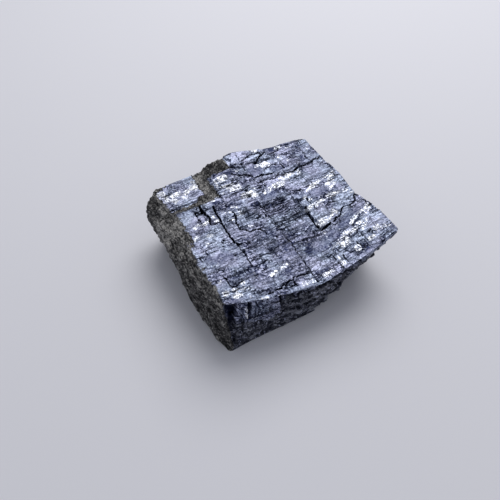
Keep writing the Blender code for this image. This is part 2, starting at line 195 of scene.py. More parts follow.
# Cracks in the top, cut in and painted dark with painted shade: width, depth, then the points they pass
cracks = (
    (0.34, 0.8, ((2.4, 12.9), (4, 12.7), (6, 12.6), (8, 12.2), (9.5, 12.5), (11, 12.2), (12.5, 12.3),
        (14.5, 12.1), (16, 12.8), (18, 12.9), (20, 12.9), (21.5, 13.3), (24.9, 13.5))),
    (0.45, 0.7, ((14.6, 12.1), (15.8, 12.4))),
    (0.55, 0.8, ((-1, 19), (0.4, 17.2), (2, 16.4), (3, 15.4), (4, 14.9), (6, 15.1), (7, 14.5),
        (9.1, 14.3))), (0.3, 0.5, ((-1.2, 22.2), (1, 22.2), (3, 21.4), (5, 21.2))),
    (0.3, 0.5, ((4, 22.5), (6, 23), (7.2, 23.5), (8, 23.1), (9.6, 23.3))),
    (0.45, 0.7, ((6.6, 20.6), (7.6, 20.3), (9.5, 21.7), (11.2, 22.3))),
    (0.25, 0.4, ((2.9, 21.2), (2.7, 18.4))), (0.2, 0.3, ((3.6, 26), (3.4, 23))),
    (0.35, 0.6, ((11.8, 21.8), (12.6, 21.5), (15, 21.6), (15.4, 22.6), (15.2, 23.6))),
    (0.35, 0.5, ((8, 16.9), (9, 16.7), (10.5, 17.2), (12, 16.9))), (0.3, 0.4, ((12.9, 16.8), (13.1, 14.4))),
    (0.25, 0.35, ((20.8, 21.2), (20.9, 18.6))), (0.3, 0.4, ((-4.9, 15.3), (-2, 14.9))),
    (0.3, 0.4, ((-5.6, 12.5), (-2, 12), (0.6, 12.3))),
    (0.6, 0.9, ((-14.5, 12.4), (-14.5, 9.6), (-14.4, 6.4), (-14.9, 5.2), (-15, 4.5))),
    (0.6, 0.7, ((-14.7, 10.4), (-14.8, 9))), (0.4, 0.7, ((-15, 4.6), (-13.6, 4.2), (-12.4, 4.1))),
    (0.35, 0.6, ((-16.4, 10.7), (-15.2, 9.9), (-14.6, 10.1))), (0.4, 0.6, ((-16.5, 10.5), (-17, 6.7))),
    (0.5, 0.8, ((-11.4, 10.4), (-11.8, 8), (-12, 6), (-12.5, 3), (-12.8, 0), (-12.9, -3), (-12.7, -5))),
    (0.25, 0.4, ((-12.7, -5), (-12.6, -9), (-12.7, -12))), (0.7, 0.6, ((-12.5, -4.8), (-11.9, -5.2))),
    (0.5, 0.8, ((-8, 6.2), (-8.2, 4), (-9, 2.8), (-9.4, 0), (-9.2, -0.9), (-8, -1))),
    (0.42, 0.7, ((-8, -1), (-7.8, -2.3), (-6, -2.4), (-5.2, -2.6), (-4.8, -3.6))),
    (0.25, 0.35, ((-4.8, -3.6), (-4.7, -5.2))),
    (0.25, 0.35, ((-12.4, -10.6), (-10, -10.3), (-8, -10.4), (-7, -10.6), (-6, -10))),
    (0.2, 0.25, ((-0.2, 5), (-0.5, 0), (-0.7, -7), (-0.9, -14), (-0.5, -19), (-0.4, -22.4))),
    (0.35, 0.6, ((-14.2, -20.6), (-10, -20.4), (-9, -19.9), (-6, -19.3), (-4, -19), (-0.9, -18.9))),
    (0.25, 0.4, ((-6, -19.4), (-6, -21.4))), (0.22, 0.3, ((-13, -20), (-9, -20.9), (-6, -20.7))),
    (0.3, 0.5, ((-20.1, -12.4), (-20.1, -15.6))), (0.5, 0.5, ((-20, -15.4), (-18.2, -15.2))),
    (0.22, 0.3, ((-18, -14.9), (-15.5, -14.7), (-12.6, -14.9))),
    (0.36, 0.6, ((9, -1.8), (8.4, -3.4), (8.1, -5), (8, -7), (8.3, -9))),
    (0.6, 0.9, ((8.7, -9.9), (9.6, -9.5), (12, -9.2))),
    (0.22, 0.3, ((7.9, -11), (6, -11.2), (4, -10.7), (2.4, -10.9))),
    (0.35, 0.5, ((11.2, 1), (10.8, -0.6), (11, -1.6))), (0.25, 0.35, ((10.8, -2.8), (10.9, -4.4))),
    (0.4, 0.5, ((12.8, -9), (14.5, -8.2), (16, -8), (17.2, -6.2), (18.4, -5.8), (20, -6), (22, -5.5),
        (23, -4.2), (24.2, -2.8), (25.3, -3))), (0.4, 0.4, ((24.2, -6.4), (24.1, -7.8))),
    (0.3, 0.4, ((9.6, 5), (10.8, 4.5), (12.2, 3.9))), (0.3, 0.5, ((6.4, -18), (6.5, -20), (6.7, -22.6))),
    (0.3, 0.5, ((8.5, -18.9), (8.7, -21.6))), (0.3, 0.4, ((16.1, -15.6), (16.2, -18.4))),
    (0.25, 0.3, ((18.7, -15.8), (18.7, -17.8))), (0.3, 0.4, ((13.4, -17.6), (14.3, -19.2), (14.4, -19.8))),
)

# Facets that throw the light back, each with a painted highlight: x, y, reach x, reach y, turn in degrees,
# strength
paintedGlints = (
    (-21.3, 21.1, 1, 1, 0, 1), (-20.9, 18.6, 1.1, 1.2, 0, 0.9), (-17.9, 18.9, 1.5, 0.9, 10, 1),
    (-19.1, 17.1, 0.9, 0.9, 30, 1), (-16.3, 16.9, 0.8, 0.5, -30, 0.7), (-15, 18.3, 0.9, 0.7, 40, 1),
    (-12.8, 18.9, 0.8, 1, 30, 1), (-11.6, 19.6, 0.45, 1.6, 10, 1), (-4.2, 19, 1.5, 1.3, 0, 1),
    (-6.6, 17.8, 0.35, 1.6, -10, 0.8), (-4.2, 15.6, 1.6, 0.45, -8, 1), (-3.3, 13.6, 1.9, 1.2, -10, 1),
    (-1.5, 14, 0.2, 0.8, 0, 0.8), (-7, 13.5, 0.6, 0.3, 0, 0.5), (-10.2, 12.2, 0.8, 0.6, 0, 0.6),
    (-1.6, 9.8, 1.5, 1.1, 0, 1), (0.1, 9.6, 1, 1.2, 0, 1), (1.4, 11.2, 0.5, 0.8, 35, 0.7),
    (3.2, 8.6, 0.35, 0.9, -30, 0.7), (4.4, 8.7, 0.3, 0.9, -30, 0.7), (5.2, 8.9, 0.3, 0.8, -30, 0.6),
    (7.7, 9.1, 1.6, 1.1, -5, 1), (12.6, 11.5, 1.2, 0.8, 15, 0.9), (15.6, 11.3, 0.7, 0.6, 20, 0.9),
    (14.8, 10.2, 0.35, 0.6, -25, 0.8), (10.8, 10.8, 1.6, 1, 0, 0.6), (6.7, 18.9, 0.7, 0.4, 20, 0.5),
    (9, 18.5, 1.2, 1.1, 0, 0.95), (12.6, 18.4, 0.5, 0.7, -20, 0.3), (14.1, 19.2, 0.5, 0.7, -30, 0.5),
    (14.3, 18.4, 0.4, 0.4, 0, 0.6), (15.6, 17, 0.3, 0.6, -30, 0.6), (15.8, 22.9, 0.8, 0.6, 0, 1),
    (18.4, 21.4, 0.9, 0.3, 0, 0.6), (17.3, 14.4, 0.4, 0.3, 0, 0.6), (1, 19.7, 0.5, 0.25, 0, 0.8),
    (9.3, 24.5, 0.8, 0.6, 0, 1), (23.2, 19, 0.4, 1.2, 0, 0.25), (15.5, 4.2, 1.5, 0.7, 18, 1),
    (13.3, 3.3, 0.7, 0.35, 25, 0.8), (17.2, 4.9, 1.2, 0.45, 15, 0.8), (19.3, 5.2, 1.2, 0.4, 8, 0.6),
    (21.5, 5.2, 1.4, 0.7, 15, 0.7), (23, 6.1, 0.8, 0.4, 20, 0.7), (20.3, 3, 1.6, 1.1, 15, 0.6),
    (19.3, 1.6, 0.8, 0.4, 20, 0.6), (11, 1.4, 0.8, 0.35, 20, 1), (11.6, 0.1, 0.9, 0.25, 10, 0.9),
    (22.6, -0.8, 1.4, 0.5, 0, 0.4), (23.4, -2.3, 0.6, 0.35, 0, 1), (14.3, -1.7, 1.6, 0.45, 8, 1),
    (12.3, -1.9, 1.5, 0.6, 8, 0.9), (17.3, -0.9, 1.3, 0.65, 8, 1), (19.3, -0.9, 1.2, 0.5, 5, 0.9),
    (9.4, -2.7, 1, 0.7, 5, 1), (12.2, -2.9, 1.2, 0.6, 0, 0.4), (9.7, -8.1, 1.7, 0.9, 5, 1),
    (11.4, -7.6, 1.3, 0.7, 15, 0.9), (13.2, -7.5, 1.2, 0.4, 25, 0.8), (15.2, -6.3, 0.8, 0.8, 35, 0.75),
    (8.7, -9.1, 0.35, 0.6, -30, 0.9), (9.1, -10.8, 0.4, 0.25, 40, 1), (9.5, -15.2, 1.2, 0.35, 12, 0.5),
    (11.6, -14.5, 1.3, 0.4, 15, 0.5), (13.2, -13.8, 1, 0.7, 20, 0.8), (15.2, -14, 1.3, 0.6, 10, 0.85),
    (12.4, -15.4, 0.5, 1.1, -15, 1), (10.8, -16.4, 1.3, 0.9, 15, 1), (17.9, -13, 0.8, 0.6, 10, 0.95),
    (19.3, -13.8, 1.5, 0.3, 35, 0.85), (17.6, -14.7, 0.7, 0.35, 35, 0.8), (16.8, -11.5, 0.8, 0.5, 40, 0.7),
    (18.3, -10.6, 0.8, 0.5, 30, 0.7), (20.3, -9.9, 1.1, 0.3, 20, 0.6), (22.8, -9.6, 1.6, 0.7, 40, 0.9),
    (23.8, -8.6, 0.6, 0.4, 0, 0.7), (17.8, -18.2, 1, 0.5, 0, 1), (21, -16.8, 1.3, 0.9, 10, 0.75),
    (23, -17.2, 0.9, 0.8, 20, 0.6), (23.2, -14.6, 0.8, 1.2, 0, 0.2), (7.3, -21, 0.8, 0.8, 0, 1),
    (7.4, -19.6, 0.35, 1.4, 0, 0.6), (2.8, -21.4, 1.4, 0.6, 3, 1), (12.9, -19.3, 1, 0.8, 20, 0.9),
    (-16.9, -15.5, 0.9, 0.45, 10, 0.9), (-19.5, -16.4, 0.8, 0.7, 0, 0.6), (-20, -18, 1, 0.8, 15, 1),
    (-23.3, -16.9, 0.9, 0.35, 15, 0.9), (-22.2, -16.5, 0.8, 0.6, 0, 1), (-21.8, -13.2, 0.9, 0.5, 15, 0.4),
    (-9, -16, 1.2, 0.55, 12, 1), (-6, -15.3, 1.3, 0.5, 10, 0.6), (-14.9, -21.3, 1.1, 0.5, 3, 0.8),
    (-2.8, -21.2, 1.7, 0.6, 4, 0.5), (-18, -17.2, 1.2, 0.6, 0, 0.4), (-20.3, 2.1, 0.8, 0.6, 20, 0.8),
    (-17, 1.2, 0.8, 0.8, 40, 0.6), (-18.8, -0.7, 0.5, 0.6, 0, 0.5), (-18.3, 5.7, 0.9, 0.5, 15, 0.9),
    (-15.7, 5.8, 1.1, 0.55, 15, 0.9), (-13.3, 6.5, 0.7, 0.5, -20, 0.7), (-13.2, 5.1, 1, 0.4, 0, 0.6),
    (-9.4, 6.6, 1.1, 0.35, -25, 0.5), (-9.3, 3.6, 0.9, 0.3, -20, 0.7), (-6.5, 4.8, 1.2, 0.6, -10, 0.6),
    (-6.6, 7.2, 1.3, 0.3, -25, 0.5), (-6.4, -0.4, 0.6, 0.5, 0, 0.4), (-12, -2.6, 0.8, 0.5, 0, 0.3),
)

# Faces of the top: x, y, reach x, reach y, turn in degrees, how smooth (below 0: wavy sheets),
# how bright or dark it is painted, partly its own tone and partly painted reflection
faces = (
    (-3, -6.5, 7, 4, 0, -0.5, -0.14), (-3, -12, 4, 2.5, 0, 0.2, -0.18), (-6, -16, 3, 1.5, 10, 0.2, -0.2),
    (-14, -12, 2.5, 1.8, 0, 0, -0.2), (2, -20, 2.2, 1.2, 0, 0.3, -0.46), (14, -20, 2.2, 1.2, 0, 0.3, -0.42),
    (10.5, -8, 3, 1.6, 10, 0, 0.52), (19.5, -4, 4.5, 1.8, 10, 0, 0.52), (18, -16.5, 3, 2, 10, 0, 0.36),
    (-6.5, 8.5, 2.5, 1.8, 0, 0, -0.34), (-9.6, 11.8, 1.7, 1.5, 0, 0, -0.66),
    (14.6, 24, 2.8, 1.5, 0, 0.3, -0.62), (9, 12, 4.2, 1.4, 0, 0, 0.24), (22, 12, 2, 2, 0, 0.3, 0.18),
    (-14, 4, 2.2, 2, 0, 0, 0.26), (-6, -8, 2, 1.6, 0, 0, 0.02), (10, 8, 2, 1.5, 0, 0.2, 0.15),
    (-18, 11.5, 2.5, 1.4, 0, 0.3, -0.2), (-13.5, -4, 1.8, 1.6, 0, 0.2, -0.32),
    (-2, 20.3, 2, 1.2, 0, 0, -0.65), (18, -12, 2.2, 1.5, 20, 0, -0.46), (6, -20.5, 2, 1.2, 0, 0, 0.28),
    (10, 0, 1.6, 1.6, 0, 0, 0.26), (-19.6, 8.8, 2.5, 2.5, 0, 0.9, 0.14), (-18.6, -6, 3.6, 2, 0, 0.9, -0.34),
    (-15.8, -0.6, 3.8, 3.2, 0, 0.4, 0.22), (-17, 15.3, 3.2, 1.2, 0, 0.6, 0.35),
    (-15, 21.5, 3, 2.4, 0, 0.5, 0.02), (5.3, 17.6, 2.3, 2.2, 0, 0.9, -0.32),
    (11.6, 15.6, 2.9, 1.3, 0, 0.8, -0.4), (3.4, 6.8, 2.5, 1.1, 0, 0.9, -0.38),
    (19.2, 8.6, 4.8, 2, 5, 0.7, 0.08), (15.2, 1.6, 2.8, 1.5, 10, 0.9, -0.22),
    (2.2, 24.6, 3.8, 2, 0, 0.8, 0.8), (6.6, 22.2, 2.6, 0.6, 10, 0.9, 0.5),
    (13.4, 22.9, 1.6, 1.1, 0, 0.8, -0.26), (9, -12.6, 4, 1.5, 20, 0.9, -0.32),
    (15, -10.6, 3, 1.2, 30, 0.9, -0.42), (19, -8.4, 2.6, 1, 20, 0.8, -0.33),
    (5, -14.4, 3.4, 1.2, 5, 0.8, -0.4), (-3, -13, 2.2, 1, 0, 0.8, -0.18),
    (-9.4, -9.3, 2, 0.7, 0, 0.8, -0.15), (-20, -19.3, 3, 0.7, -8, 0.8, -0.28),
    (-6.5, -18, 3, 0.8, 6, 0.6, -0.26), (-3, -21, 2.5, 1.1, 3, 0.8, 0.4), (3, -17.6, 3, 1.9, 0, 0.5, 0.36),
    (11, -4.9, 2.8, 1.8, 0, 0.6, 0.26), (16.5, 15.5, 2, 1.2, 0, 0.5, -0.02),
    (22.6, 17, 1.8, 3.4, 0, 0.5, -0.08), (-10.8, 0.5, 1.4, 2.6, 0, 0.5, 0.04),
    (0.9, -2, 1.2, 0.6, 0, 0.6, 1), (-22.6, -14.6, 1.4, 1.8, 0, 0.5, 0.02),
    (-6.6, 11.4, 1.6, 1, 0, 0.5, 0.08), (-16, 8, 1, 1.6, 0, 0.8, 0.2), (21.5, -12.8, 2.5, 2, 20, 0.2, 0.28),
    (13.4, 11.4, 3.4, 1.5, 0, 0.2, 0.62), (3, -0.5, 5.6, 5, 0, -0.8, 0.15), (1, 4.2, 6, 1.6, 0, -1, -0.18),
    (-3.2, 3.4, 3.2, 2.6, 0, -1, 0.26), (-1, 6.2, 1.5, 1, 0, -1, -0.75), (6.6, 7.5, 1.2, 0.5, 0, 0, -0.45),
    (8.2, 6.6, 0.6, 1, 0, 0, -0.5), (4.4, 11, 1.2, 0.5, 0, 0, -0.27), (3.8, -11.8, 2.6, 1, 10, 0.3, -0.34),
    (2.5, -13.2, 1.6, 0.8, 30, 0.5, -0.75), (-16, -13.6, 3.8, 1.4, 0, 0, -0.15),
    (-19, -15, 1, 0.7, 0, 0, -0.2), (19.4, 15.6, 1.4, 1.2, 40, 0.2, -0.5), (19, 18.8, 1.6, 1, 0, 0, -0.35),
    (16.8, 11.4, 1.2, 0.8, 20, 0.2, -0.18), (14.8, -16.9, 1.8, 0.9, 0, 0.3, 0.38),
    (23.2, 1, 0.7, 1.8, 0, 0.2, -0.03), (-7, -4.5, 5, 2, 0, -0.4, -0.38),
    (-11, -18.8, 3.2, 0.9, 8, 0.4, -0.08), (0.6, 18.6, 1.6, 0.9, -30, 0, -0.3),
    (-5.8, -9.9, 1.2, 0.8, 0, 0, -0.4), (-3.3, 18.3, 0.5, 0.5, 0, 0, -0.6), (-17, 13.4, 7, 1, 0, 0, 0.6),
    (-9.8, 18, 1.5, 7, 0, 0, 0.9), (-4.2, 23.2, 4, 3.2, 0, 0, -0.15), (-22.4, 11.2, 1.8, 5.5, 0, 0, 0.4),
    (-23.6, -6, 1.5, 10, 0, 0, 0.15), (-22.2, 20, 1.4, 2, 0, 0.2, 0.45),
    (10.2, 24.4, 1.4, 1.2, 0, 0.2, 0.15), (5.4, 20.2, 1.8, 0.8, 0, 0, 0.14),
    (-13.4, 12.3, 1.9, 1.1, 0, 0, 0.7), (-13.4, 8, 0.9, 1.8, 0, 0.4, 0.26),
    (-6.8, 4.4, 1.1, 1.4, 0, 0, 0.2), (11, -15.9, 2.2, 1.1, 10, 0.1, 0.3),
    (20, 20.6, 2.8, 1.2, 0, 0.2, -0.26), (10, 4, 1.5, 1.2, 0, 0, -0.14), (22.4, 4.2, 1.4, 1.2, 0, 0, 0.2),
    (10, -8, 1.8, 1.2, 10, 0.6, 0.8), (-14.6, -16.4, 1.8, 1, 0, 0, -0.15),
    (-6.4, -16.6, 1.6, 1, 0, 0, -0.34), (18.6, 7, 1.8, 1, 0, 0, -0.06), (-18.4, -4.2, 1.6, 1.2, 0, 0, 0.36),
    (7, -8.6, 1.6, 1.2, 0, 0.2, -0.3), (-13.8, 0.2, 1.6, 1.6, 0, 0.3, 0.42),
    (14.4, 23.6, 1.4, 1.2, 0, 0.3, -0.75),
)

# How the faces are worked, in mm
relief = {
    "plateRise": 0.5,  # the steps are lower than the blocks beneath them
    "terraces": {"count": 2000, "small": 0.6, "large": 4, "drawnOut": 1.7, "rise": 0.06, "tilt": 0.02,
                 "shade": 0.05, "most": 0.3, "mostShade": 0.3},
    "sideTerraces": {"count": 2600, "small": 0.5, "large": 4, "drawnOut": 1, "rise": 0.11, "tilt": 0.02,
                     "shade": 0.07, "most": 0.5, "mostShade": 0.3},
    "smoothing": 0.9, "calm": 0.6,  # how flat the smooth faces are, and the quiet patches
    "facetSize": (0.55, 0.42), "facetTilt": 0.05, "facetLift": 0.03,  # glittering cleavage facets
    "facetShare": 0.1, "glintFlat": 0.7,  # facets outside the glints, and how even the glints are
    "lamellaPitch": 0.95, "lamellaRise": 0.22,  # overlapping wavy sheets in the dull middle
    # seamDark is the painted shade of the fine seams
    "seamWidth": 0.2, "seamDepth": 0.14, "seamDark": 0.54,
    # fine open seams: strength, share of the width, size, seed, then where they run: size, seed, from, to
    "seams": ((1, 1, (4.6, 1.3, 1), 61, (3.4, 1.5, 1), 65, -0.18, -0.05),  # long ones along x
              (0.8, 0.8, (2, 0.6, 1), 66, (1.8, 1.2, 1), 67, 0, 0.12),
              (0.8, 0.8, (1.5, 5, 1), 63, (1.6, 2, 1), 64, 0.08, 0.18)),  # across
    "net": (0.9, 0.8, (1.6, 0.55, 1), 68),  # a close net between the wavy sheets
    "crackCut": (0.8, 0.15, 0.48),  # share of the depth; floor and rim, by the width
    "crackJag": 0.12, "crackFade": 0.7,  # the crack value falls evenly over this, 0.5 at its edge
    "shadedPitRadius": 0.6, "crumbShading": 1.2,  # pits narrower than this get painted shade; painted light on the raised crumbs and painted shade between them
    "smoothBlocks": 0.85, "blockTone": 0.35,  # hidden sides: smooth blocks, and how their shades differ
    "seed": 11,
}

# Noise over the faces, in layers: height in mm, size of the lumps or cells in mm, seed
grain = {
    "fringe": ((0.35, 1.6, 31), (0.3, 0.7, 32)),  # ragged edge of each patch
    "calm": ((1, (4.5, 2.2, 1), 73),),
    "jogX": ((0.22, (6, 1.3, 1), 3), (0.1, (6, 0.5, 1), 8)),  # ledges step to and fro
    "jogY": ((0.2, (1.7, 6, 1), 4), (0.1, (0.6, 6, 1), 9)),
    "jagX": ((0.1, (0.9, 0.7, 1), 15),), "jagY": ((0.1, (0.7, 0.9, 1), 16),),
    "wave": ((0.8, 3.4, 21), (0.4, 1.3, 22)),  # front edges of the sheets
    "crumbs": ((0.3, 2, 5), (0.26, 0.9, 6), (0.2, 0.5, 7)),  # crust on the top
    "roll": ((0.12, 3, 6),),
    "ragged": ((0.8, 1.8, 41),), "loose": ((1.6, 3.6, 49),),  # edges of the crust and broken rock
    "bulges": ((0.6, 5, 1), (0.6, 2.4, 1)),  # crust on the sides
    "strands": ((0.5, (1.3, 3, 1.1), 42), (0.36, (0.6, 1.1, 0.5), 43)),
    "rubble": ((0.5, (3.2, 3.2, 1.3), 44), (0.42, (1.5, 1.5, 0.8), 45), (0.3, (0.7, 0.7, 0.5), 46)),
    "layers": ((0.9, (5, 5, 2), 48),), "stria": ((0.35, (2, 2, 8), 47),),
    "markX": ((0.45, 1.2, 51),), "markZ": ((1.1, 1.5, 52),),
    # where the hidden sides get painted glints
    "sidePaintedGlint": ((1, (2.5, 2.5, 1.2), 71),),
}


def swell(points, name):
    # lumps laid over each other
    return sum(rise * lumps(points, size, seed) for rise, size, seed in grain[name])


def jog(place, points, name):
    # a place moved to and fro by the cell
    return sum((reach * cells(points, size, seed) for reach, size, seed in grain[name]), place)


def roundCorners(u, v):
    # draw points near a corner of the plan onto a round corner
    for (sideU, sideV), radius in stone["cornerRadii"].items():
        edgeU = stone["right"] if sideU > 0 else stone["left"]
        edgeV = stone["back"] if sideV > 0 else stone["front"]
        a = 1 - np.abs(edgeU - u) / radius
        b = 1 - np.abs(edgeV - v) / radius
        inside = (a > 0) & (b > 0)
        roundA, roundB = a * np.sqrt(1 - b * b / 2), b * np.sqrt(1 - a * a / 2)
        u = np.where(inside, edgeU - sideU * (1 - roundA) * radius, u)
        v = np.where(inside, edgeV - sideV * (1 - roundB) * radius, v)
    return u, v


frontFace = {
    "shelter": (-10.6, 0.75, 4.5, 7.5, 0.9),  # x from, lip, low, high, depth
    # hollows and ribs: x at the foot, x at the head, half width, low, high, depth, painted shade in a
    # hollow (below 0: a painted highlight on a rib)
    "marks": ((-22.9, -22.9, 1.5, 11.4, 16.3, 1.9, 1), (-23.2, -23, 1.2, 7.6, 11.6, 1.3, 0.95),
              (-23.2, -23, 1.2, 2.4, 6.2, 0.9, 0.95), (-20.7, -20.7, 0.2, 9.4, 15.6, 0.3, 0.6),
              (-20.1, -20.1, 0.15, 9.4, 15.6, 0.2, 0.5), (-19.2, -19.2, 0.26, 10, 14.8, -0.25, -0.9),
              (-18.7, -18.7, 0.25, 9.4, 15.6, 1, 1), (-18.2, -18.2, 0.16, 9.4, 15.6, 0.6, 0.8),
              (-17.2, -17.2, 0.8, 8.9, 9.5, -0.3, -0.9), (-17, -16.9, 0.16, 9.6, 14.9, 0.3, 0.6),
              (-16.3, -16.2, 0.14, 9.6, 15.2, 0.3, 0.5), (-15.5, -15.5, 0.14, 9.8, 15.2, 0.2, 0.5),
              (-14.6, -14.6, 0.12, 9, 15.2, 0.2, 0.4), (-10.4, -11.3, 0.38, 11.2, 15.5, 1.1, 1),
              (-8.6, -8.4, 1.3, 11.8, 13.9, 1.2, 1), (-5, -4.6, 2.2, 12.3, 13.4, 0.6, 0.9),
              (0, 0.4, 2.4, 12.7, 13.6, 0.5, 0.8), (5, 5.6, 2.6, 13.4, 14.2, 0.5, 0.8),
              (10.8, 11.4, 2.4, 13.8, 14.6, 0.4, 0.8), (-6.8, -6.6, 0.8, 8, 9.6, 0.6, 0.8),
              (-0.6, -0.4, 1.2, 7.8, 9.6, 0.6, 0.8), (-2.6, -2.8, 0.6, 4.6, 6.4, 0.5, 0.7),
              (-13, -13.4, 1.2, 3.6, 5, 0.5, 0.7), (3.6, 3.4, 0.6, 5.6, 7.4, 0.5, 0.7),
              (-20, -20.2, 0.4, 6.4, 9.8, 0.6, 0.9), (-5.6, -5.4, 1.8, 0.8, 1.8, 0.3, 0.7),
              (-9.5, -9.3, 0.4, 2.6, 3.4, -0.2, -0.6), (-6, -5.8, 0.5, 1.9, 2.5, -0.2, -0.6),
              (-20.5, -20.3, 0.3, 4.6, 5.4, -0.2, -0.6), (-1, -0.6, 0.5, 5.6, 6.2, -0.2, -0.6),
              (7, 7.4, 0.5, 9.2, 9.8, -0.2, -0.6), (-15.8, -15.5, 0.6, 2, 2.5, -0.2, -0.5)),
    "flushLow": ((-24.5, 9.5), (-20, 8.8), (-17, 7.6), (-13, 6.6), (-10.8, 7.6), (-10.4, 12.6), (0, 13),
                 (10, 13.8), (20, 14.4), (24.5, 15)),  # clean cleavage above this height
    "striaPitch": 0.55, "striaRise": 0.1,
    "layerPitch": 1.7, "layerRise": 0.7, "layerDip": 0.1,  # ragged layers below the clean cleavage
    "flushFade": 0.4, "lapFade": 0.8,
    "crustEdge": -22.7, "crustSlant": 0.1,  # the crust laps less far round the corner higher up
}

# Crust on the back: its lap round the left corner, and a gully of it
backCrust = {"lap": (-22.5, -18.5), "gullyX": -5.5, "gullyReach": (3, 6.5), "gullyFoot": (5, 11)}


def frontY(x, height):
    # y of the front face: flush block and lip above, broken and undercut below
    rim, edge = at(stone["rimHeight"], x), at(stone["topFront"], x)
    rimY, foot = at(stone["rimFront"], x), at(stone["footFront"], x)
    localTop = stone["top"] - at(stone["frontSag"], x)
    upper = edge + (rimY - edge) * (1 - ease(height, np.minimum(rim, localTop - 0.1), localTop))
    lower = rimY + (foot - rimY) * (1 - height / np.maximum(rim, 0.01))
    y = np.where(height >= rim, upper, lower)
    xFrom, lip, low, high, depth = frontFace["shelter"]
    under = ease(x, xFrom, xFrom + 0.4) * ease(localTop - height, lip, lip + 0.35)
    return y + depth * under * ease(height, low, high)


def frontMarks(x, height):
    # depth of the hollows and ribs of the front face, with the painted shade in the hollows and the painted
    # highlight on the ribs
    depth, dark = np.zeros_like(x), np.zeros_like(x)
    for xLow, xHigh, half, low, high, deep, shade in frontFace["marks"]:
        middle = xLow + (xHigh - xLow) * (height - low) / (high - low)
        inside = 1 - ease(np.abs(x - middle), half * 0.6, half * 1.1)
        inside = inside * band(height, low - 0.2, low + 0.3, high - 0.3, high + 0.2)
        depth = depth + deep * inside
        dark = dark + shade * inside
    return depth, np.clip(dark, -1, 1)


def leftX(y, share):
    # x of the left side: over the crust's belly and in again to the foot
    edge, belly, foot = (at(stone[k], y) for k in ("topLeft", "crustBelly", "footLeft"))
    s = stone["bellyShare"]
    over = edge + (belly - edge) * np.sin(math.pi / 2 * np.clip(share / s, 0, 1))
    return np.where(share < s, over, belly + (foot - belly) * ease(share, s, 1))


def blockOf(ledges, place, share, seed):
    # one value from about -1 to 1 for each cleavage block of a hidden side
    column = np.searchsorted(ledges, place, side="right")
    row = np.searchsorted(stone["blockRows"], share, side="right")
    keys = [(c * 3.7 + 0.5, r * 5.3 + 0.5, len(ledges) + seed + 0.5) for c, r in zip(column, row)]
    return np.array([noise.noise(k) for k in keys])


def sideBlocks(onBack, u, v, share, seed):
    inBack, inRight = blockOf(stone["ledgesX"], u, share, seed), blockOf(stone["ledgesY"], v, share, seed)
    return np.where(onBack, inBack, inRight)


def sidesOf(u, v):
    # which points are on the left, the right, the front and the back
    near = 0.01
    return (u < stone["left"] + near, u > stone["right"] - near,
            v < stone["front"] + near, v > stone["back"] - near)


def planOf(u, v, depth):
    # layout x, y of a nominal point, on the top (depth 0) or down a side
    s = stone
    share, height = depth / s["top"], s["top"] - depth
    u, v = roundCorners(u, v)
    length, reach, fade = s["wander"]
    inside = np.minimum.reduce([u - s["left"], s["right"] - u, v - s["front"], s["back"] - v])
    weight = reach * np.clip(inside / fade, 0, 1)
    places = np.stack([u, v, np.zeros_like(u)], 1) / length
    driftU = weight * np.array([noise.noise(p) for p in (places + s["wanderU"]).tolist()])
    driftV = weight * np.array([noise.noise(p) for p in (places + s["wanderV"]).tolist()])
    margin = s["topMargin"] + (s["footMargin"] - s["topMargin"]) * share
    nearFront = np.clip(1 - (v - s["front"]) / margin, 0, 1)
    nearBack = np.clip(1 - (s["back"] - v) / margin, 0, 1)
    nearLeft = np.clip(1 - (u - s["left"]) / margin, 0, 1)
    nearRight = np.clip(1 - (s["right"] - u) / margin, 0, 1)
    back = at(s["topBack"], u) * (1 - share) + at(s["footBack"], u) * share
    right = at(s["topRight"], v) * (1 - share) + at(s["footRight"], v) * share
    side = (depth > 0) & (depth < s["top"])
    back = back + np.where(side, s["blockRelief"] * blockOf(s["ledgesX"], u, share, 0) * nearBack, 0)
    right = right + np.where(side, s["blockRelief"] * blockOf(s["ledgesY"], v, share, 0)
                             * nearRight * (1 - nearFront), 0)
    x = u + driftU + (leftX(v, share) - s["left"]) * nearLeft + (right - s["right"]) * nearRight
    y = v + driftV + (frontY(u, height) - s["front"]) * nearFront + (back - s["back"]) * nearBack
    return x, y


# Crust on the top, in mm: its lap over the left edge, the channels in front of the corner block and
# beside it, the notch at the back, and patches as x, y, reach x, reach y, turn
topCrust = {
    "lap": (-0.6, 2), "lapFringe": 1.8,
    "frontY": (12.1, 12.7, 13.6, 14.2), "frontEnd": (-10.6, -9.4),
    "besideX": (-11.3, -10.8, -8.3, -7.6), "besideY": (12.6, 13.4),
    "notchX": (-8.6, -7.6, -0.1, 0.3), "notchY": (20.4, 21),
    "patches": ((-12, 13.9, 1.8, 1.4, 30), (-24, 20, 1.8, 5, 0), (-21.4, 23.6, 2.8, 1.4, 15),
                (-22.6, 4.5, 1.5, 4.5, 0)),
}


def crustOnTop(x, y, u, v, fringe):
    # the crust laps over the left edge and fills the channels round the corner block
    c = topCrust
    lap = 1 - ease(x - at(stone["topLeft"], y) + c["lapFringe"] * fringe, *c["lap"])
    front = band(v + fringe, *c["frontY"]) * (1 - ease(u, *c["frontEnd"]))
    beside = band(u + fringe, *c["besideX"]) * ease(v, *c["besideY"])
    notch = band(u, *c["notchX"]) * ease(v + fringe, *c["notchY"])
    wide, shoulder, corner, waist = (patch(x, y, spot, fringe) for spot in c["patches"])
    return np.clip(np.maximum.reduce([lap, front, wide, beside, notch, shoulder + corner + waist]), 0, 1)


